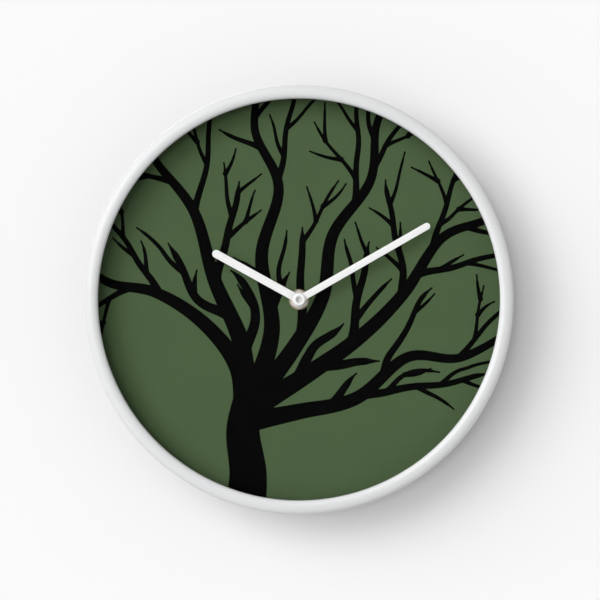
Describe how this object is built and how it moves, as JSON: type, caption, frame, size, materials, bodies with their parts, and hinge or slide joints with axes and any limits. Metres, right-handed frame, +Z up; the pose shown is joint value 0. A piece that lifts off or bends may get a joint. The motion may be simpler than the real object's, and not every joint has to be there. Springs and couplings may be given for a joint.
{
  "type": "analogue wall clock",
  "caption": "Round quartz wall clock: rounded rim, flat clear lens, printed green dial with a bare-tree shape, baton hands, geared movement, battery bay and keyhole.",
  "frame": {"origin": "on the dial's axis, in the plane of the back that rests on the wall", "axes": "+Z up to 12 o'clock, +X to 3 o'clock seen from the front, -Y out of the dial, +Y into the wall"},
  "size_m": [0.25, 0.045, 0.25],
  "materials": {
    "rim_plastic": "glossy white moulding",
    "clear_acrylic": "clear acrylic",
    "spacer_plastic": "matt black",
    "dial_print": "printed card, satin",
    "backing_board": "fibreboard",
    "cover_plastic": "fine grained white",
    "zinc_screw": "zinc plated",
    "brass": "turned",
    "nut_metal": "bright",
    "gasket_rubber": "matt black",
    "hand_paint": "white satin paint",
    "collet_brass": "turned",
    "case_plastic": "satin black",
    "lid_plastic": "satin black",
    "acetal_white": "waxy white",
    "acetal_black": "satin black",
    "spring_steel": "spring temper",
    "ferrite": "sintered",
    "stator_steel": "annealed",
    "bobbin_plastic": "natural nylon",
    "copper_wire": "enamelled copper",
    "board_laminate": "phenolic paper board",
    "resin_black": "epoxy drop",
    "crystal_can": "plated can",
    "contact_metal": "nickel plated spring strip",
    "cell_metal": "nickel plated",
    "cell_sleeve": "printed film"
  },
  "bodies": {
    "housing": {"frame_ring": "rim_plastic", "lens": "clear_acrylic", "dial_spacer_ring": "spacer_plastic", "dial_face": "dial_print", "dial_plate": "backing_board", "rear_spacer_ring": "spacer_plastic", "back_cover": "cover_plastic", "back_cover_screws": "zinc_screw", "shaft_bush": "brass", "rubber_gasket": "gasket_rubber", "fixing_washer": "brass", "fixing_nut": "nut_metal", "movement_case": "case_plastic", "movement_lid": "lid_plastic", "train_bridge": "acetal_white", "stator": "stator_steel", "coil_core": "stator_steel", "coil_bobbin": "bobbin_plastic", "coil_winding": "copper_wire", "coil_leads": "copper_wire", "circuit_board": "board_laminate", "chip_cover": "resin_black", "quartz_crystal": "crystal_can", "contact_positive": "contact_metal", "contact_negative": "contact_metal", "battery_cell": "cell_metal", "battery_sleeve": "cell_sleeve"},
    "minute_group": {"minute_hand": "hand_paint", "hand_nut": "nut_metal", "cannon_pinion": "brass", "clutch_spring": "spring_steel", "clutch_clip": "spring_steel"},
    "hour_group": {"hour_hand": "hand_paint", "hour_hand_collet": "collet_brass", "hour_wheel": "acetal_white"},
    "motion_group": {"motion_wheel": "acetal_white"},
    "setting_group": {"setting_stem": "acetal_black", "setting_knob": "acetal_black"},
    "centre_group": {"centre_wheel": "acetal_white"},
    "third_group": {"third_wheel": "acetal_white"},
    "second_group": {"second_wheel": "acetal_white", "second_arbor": "spring_steel"},
    "intermediate_group": {"intermediate_wheel": "acetal_white"},
    "rotor_group": {"rotor_pinion": "acetal_white", "rotor_magnet": "ferrite"}
  },
  "joints": [
    {"name": "minute_turn", "type": "hinge", "parent": "housing", "child": "minute_group", "pos_m": [0, -0.01, 0], "axis": [0, 1, 0], "continuous": true},
    {"name": "hour_turn", "type": "hinge", "parent": "housing", "child": "hour_group", "pos_m": [0, -0.01, 0], "axis": [0, 1, 0], "continuous": true},
    {"name": "motion_wheel_turn", "type": "hinge", "parent": "housing", "child": "motion_group", "pos_m": [0.00846, -0.01, -0.00308], "axis": [0, 1, 0], "continuous": true},
    {"name": "setting_knob_turn", "type": "hinge", "parent": "housing", "child": "setting_group", "pos_m": [0.01625, -0.01, 0.00142], "axis": [0, 1, 0], "continuous": true},
    {"name": "centre_wheel_turn", "type": "hinge", "parent": "housing", "child": "centre_group", "pos_m": [0, -0.01, 0], "axis": [0, 1, 0], "continuous": true},
    {"name": "third_wheel_turn", "type": "hinge", "parent": "housing", "child": "third_group", "pos_m": [0.00252, -0.01, 0.00939], "axis": [0, 1, 0], "continuous": true},
    {"name": "second_wheel_turn", "type": "hinge", "parent": "housing", "child": "second_group", "pos_m": [0, -0.01, 0], "axis": [0, 1, 0], "continuous": true},
    {"name": "intermediate_wheel_turn", "type": "hinge", "parent": "housing", "child": "intermediate_group", "pos_m": [-0.0098, -0.01, 0], "axis": [0, 1, 0], "continuous": true},
    {"name": "rotor_turn", "type": "hinge", "parent": "housing", "child": "rotor_group", "pos_m": [-0.01489, -0.01, 0.00509], "axis": [0, 1, 0], "continuous": true}
  ],
  "couplings": [
    {"joint": "hour_turn", "follows": "minute_turn", "ratio": 0.083333},
    {"joint": "motion_wheel_turn", "follows": "minute_turn", "ratio": -0.33333},
    {"joint": "setting_knob_turn", "follows": "minute_turn", "ratio": 1},
    {"joint": "rotor_turn", "follows": "intermediate_wheel_turn", "ratio": -5},
    {"joint": "second_wheel_turn", "follows": "intermediate_wheel_turn", "ratio": -0.16667},
    {"joint": "third_wheel_turn", "follows": "intermediate_wheel_turn", "ratio": 0.022222},
    {"joint": "centre_wheel_turn", "follows": "intermediate_wheel_turn", "ratio": -0.0027778}
  ]
}
